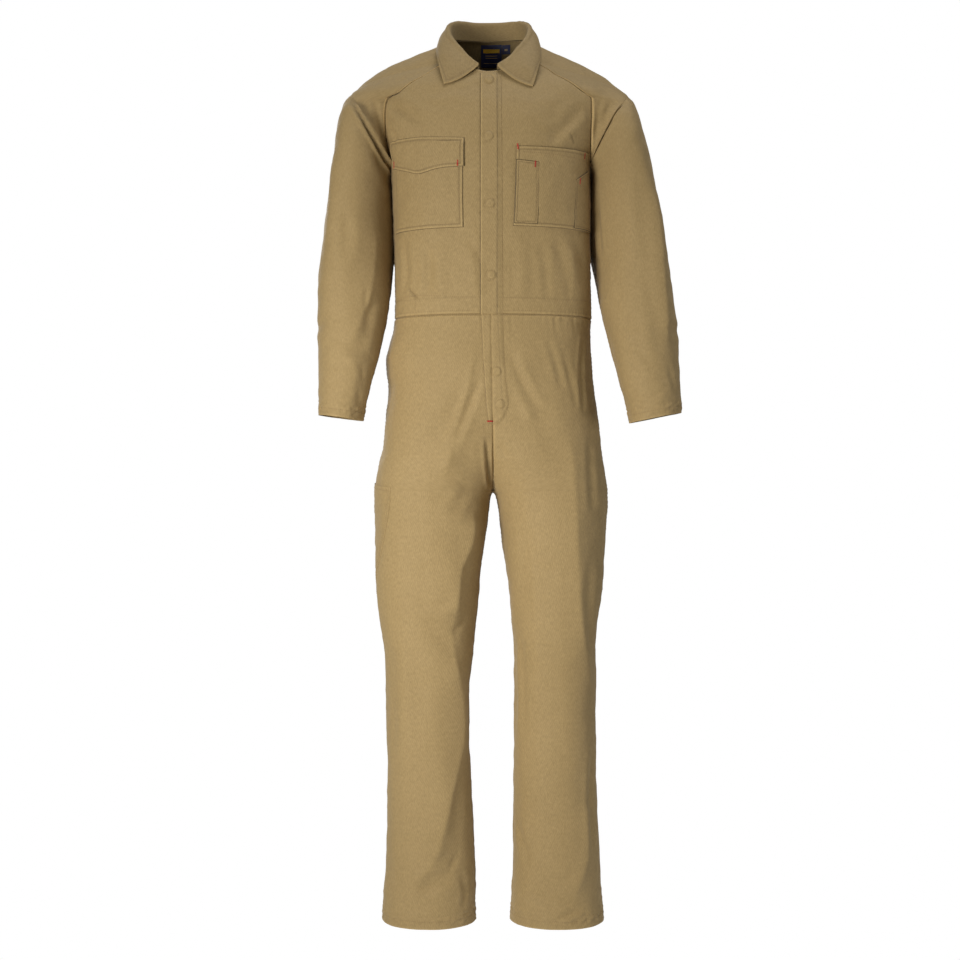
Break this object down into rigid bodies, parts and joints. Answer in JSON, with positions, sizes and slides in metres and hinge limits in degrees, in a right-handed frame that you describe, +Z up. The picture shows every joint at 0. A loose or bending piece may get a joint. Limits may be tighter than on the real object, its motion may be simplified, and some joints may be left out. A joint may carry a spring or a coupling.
{
  "type": "boiler suit",
  "caption": "One-piece work coverall worn shape with no wearer: turned-down collar, hidden front fastening, raglan sleeves, waist seam, chest pockets and a long leg pocket.",
  "frame": {"origin": "middle of the neck opening, level with the sides of the neck seam's front", "axes": "+Z up, the front faces -Y, the wearer's right is -X"},
  "size_m": [0.6449, 0.2696, 1.6375],
  "materials": {
    "cotton_drill": "matt khaki cotton drill",
    "stud_metal": "dull plated press stud",
    "woven_label": "navy woven label"
  },
  "bodies": {
    "root": {"front_right": "cotton_drill", "front_left": "cotton_drill", "back": "cotton_drill", "sleeve_right": "cotton_drill", "sleeve_left": "cotton_drill", "leg_front_right": "cotton_drill", "leg_front_left": "cotton_drill", "leg_back_right": "cotton_drill", "leg_back_left": "cotton_drill", "collar": "cotton_drill", "placket": "cotton_drill", "fly": "cotton_drill", "pocket_right": "cotton_drill", "pocket_flap_right": "cotton_drill", "pocket_left": "cotton_drill", "pen_pocket_left": "cotton_drill", "pencil_pocket_left": "cotton_drill", "rule_pocket": "cotton_drill", "stud_1": "stud_metal", "stud_2": "stud_metal", "stud_3": "stud_metal", "stud_4": "stud_metal", "stud_5": "stud_metal", "stud_6": "stud_metal", "neck_label": "woven_label", "size_label": "woven_label"}
  },
  "joints": []
}
